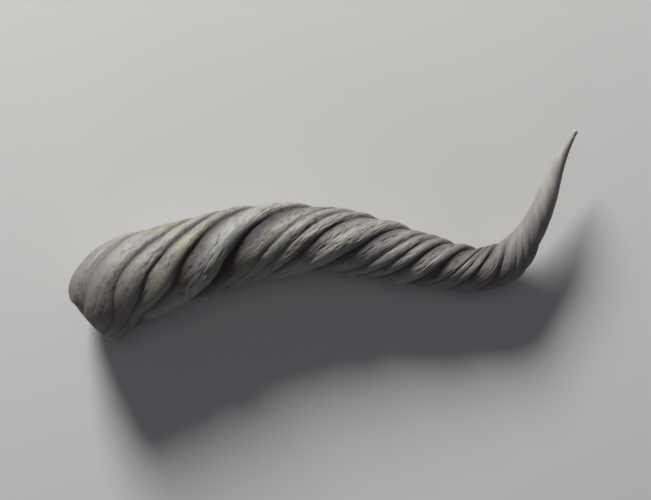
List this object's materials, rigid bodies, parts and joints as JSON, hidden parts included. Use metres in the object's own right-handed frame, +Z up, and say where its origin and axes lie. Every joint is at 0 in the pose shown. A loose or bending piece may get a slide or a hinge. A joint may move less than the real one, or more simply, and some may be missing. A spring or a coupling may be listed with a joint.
{
  "type": "shofar",
  "caption": "Natural horn trumpet: a hollow, rope-twisted antelope horn with a wide bell, a sharp bend and a small mouthpiece at its slender tip.",
  "frame": {"origin": "on the surface the shofar lies on, under the middle of its bounding box", "axes": "+X from the bell towards the tip, +Y the side the tip bends to, +Z up from the surface it rests on"},
  "size_m": [0.5435, 0.2241, 0.0934],
  "materials": {
    "horn_keratin": "dry weathered horn, grey-bone strands with dark grooves, satin at the tip",
    "mouthpiece_bone": "smooth polished pale horn"
  },
  "bodies": {
    "root": {"horn": "horn_keratin", "mouthpiece": "mouthpiece_bone"}
  },
  "joints": []
}
